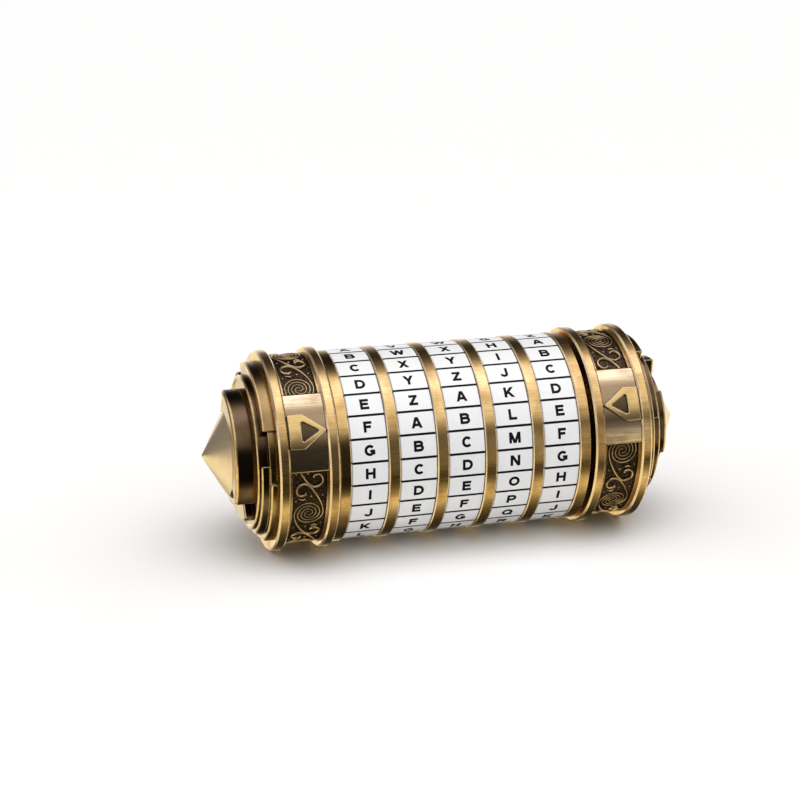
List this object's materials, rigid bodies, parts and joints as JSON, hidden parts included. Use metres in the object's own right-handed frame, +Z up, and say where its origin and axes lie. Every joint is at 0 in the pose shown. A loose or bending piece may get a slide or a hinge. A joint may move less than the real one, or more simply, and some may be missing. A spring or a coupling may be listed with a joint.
{
  "type": "cryptex",
  "caption": "Puzzle cylinder with five lettered dials between brass end caps, whose right cap pulls out with a hidden inner tube.",
  "frame": {"origin": "on the axis, midway between the two finial points", "axes": "+X along the axis towards the end that pulls out, +Z up with the object lying on its four flanges, the reading row 27 degrees above the front (-Y)"},
  "size_m": [0.1116, 0.045, 0.045],
  "materials": {
    "antique_brass": "turned brass, brushed round the axis, patinated in the corners, worn bright on the edges",
    "relief_brass": "near-black pebbled ground with worn brass relief",
    "plate_brass": "brushed brass with a brown patina",
    "polished_brass": "polished, with softened edges",
    "dark_bronze": "glossy dark bronze with worn edges",
    "satin_brass": "pale satin brass",
    "plain_brass": "plain turned brass",
    "ivory_plastic": "moulded white plastic",
    "black_ink": "glossy black enamel of the dials' letters and lines",
    "steel": "blackened steel",
    "black_rubber": "matt rubber cord rings"
  },
  "bodies": {
    "sleeve_end": {"left_drum": "antique_brass", "left_relief_panel_upper": "relief_brass", "left_relief_panel_lower": "relief_brass", "left_arrow_plate_front": "plate_brass", "left_arrow_plate_back": "plate_brass", "left_pointer_front": "polished_brass", "left_pointer_back": "polished_brass", "left_tier_plate": "dark_bronze", "left_tier_disc": "dark_bronze", "left_end_boss": "dark_bronze", "left_finial_cone": "satin_brass", "left_finial_nut": "plain_brass", "sleeve_nut": "plain_brass", "slotted_sleeve": "plain_brass", "left_collar": "antique_brass", "spacer_1": "antique_brass", "spacer_2": "antique_brass", "spacer_3": "antique_brass", "spacer_4": "antique_brass", "retaining_collar": "antique_brass", "collar_set_screws": "steel", "drag_rings": "black_rubber"},
    "dial_1": {"letter_ring_1": "ivory_plastic", "gate_ring_1": "plain_brass"},
    "dial_2": {"letter_ring_2": "ivory_plastic", "gate_ring_2": "plain_brass"},
    "dial_3": {"letter_ring_3": "ivory_plastic", "gate_ring_3": "plain_brass"},
    "dial_4": {"letter_ring_4": "ivory_plastic", "gate_ring_4": "plain_brass"},
    "dial_5": {"letter_ring_5": "ivory_plastic", "gate_ring_5": "plain_brass"},
    "pull_end": {"right_drum": "antique_brass", "right_relief_panel_upper": "relief_brass", "right_relief_panel_lower": "relief_brass", "right_arrow_plate_front": "plate_brass", "right_arrow_plate_back": "plate_brass", "right_pointer_front": "polished_brass", "right_pointer_back": "polished_brass", "right_tier_plate": "dark_bronze", "right_tier_disc": "dark_bronze", "right_end_boss": "dark_bronze", "right_finial_cone": "satin_brass", "right_finial_nut": "plain_brass", "tube_nut": "plain_brass", "inner_tube": "plain_brass", "key_bar": "plain_brass", "key_rivets": "plain_brass", "vault_floor": "plain_brass"}
  },
  "joints": [
    {"name": "dial_1_turn", "type": "hinge", "parent": "sleeve_end", "child": "dial_1", "pos_m": [-0.0223, 0, 0], "axis": [1, 0, 0], "continuous": true},
    {"name": "dial_2_turn", "type": "hinge", "parent": "sleeve_end", "child": "dial_2", "pos_m": [-0.01135, 0, 0], "axis": [1, 0, 0], "continuous": true},
    {"name": "dial_3_turn", "type": "hinge", "parent": "sleeve_end", "child": "dial_3", "pos_m": [-0.0004, 0, 0], "axis": [1, 0, 0], "continuous": true},
    {"name": "dial_4_turn", "type": "hinge", "parent": "sleeve_end", "child": "dial_4", "pos_m": [0.01055, 0, 0], "axis": [1, 0, 0], "continuous": true},
    {"name": "dial_5_turn", "type": "hinge", "parent": "sleeve_end", "child": "dial_5", "pos_m": [0.0215, 0, 0], "axis": [1, 0, 0], "continuous": true},
    {"name": "tube_pull", "type": "slide", "parent": "sleeve_end", "child": "pull_end", "axis": [1, 0, 0], "range_m": [0, 0.062]}
  ]
}
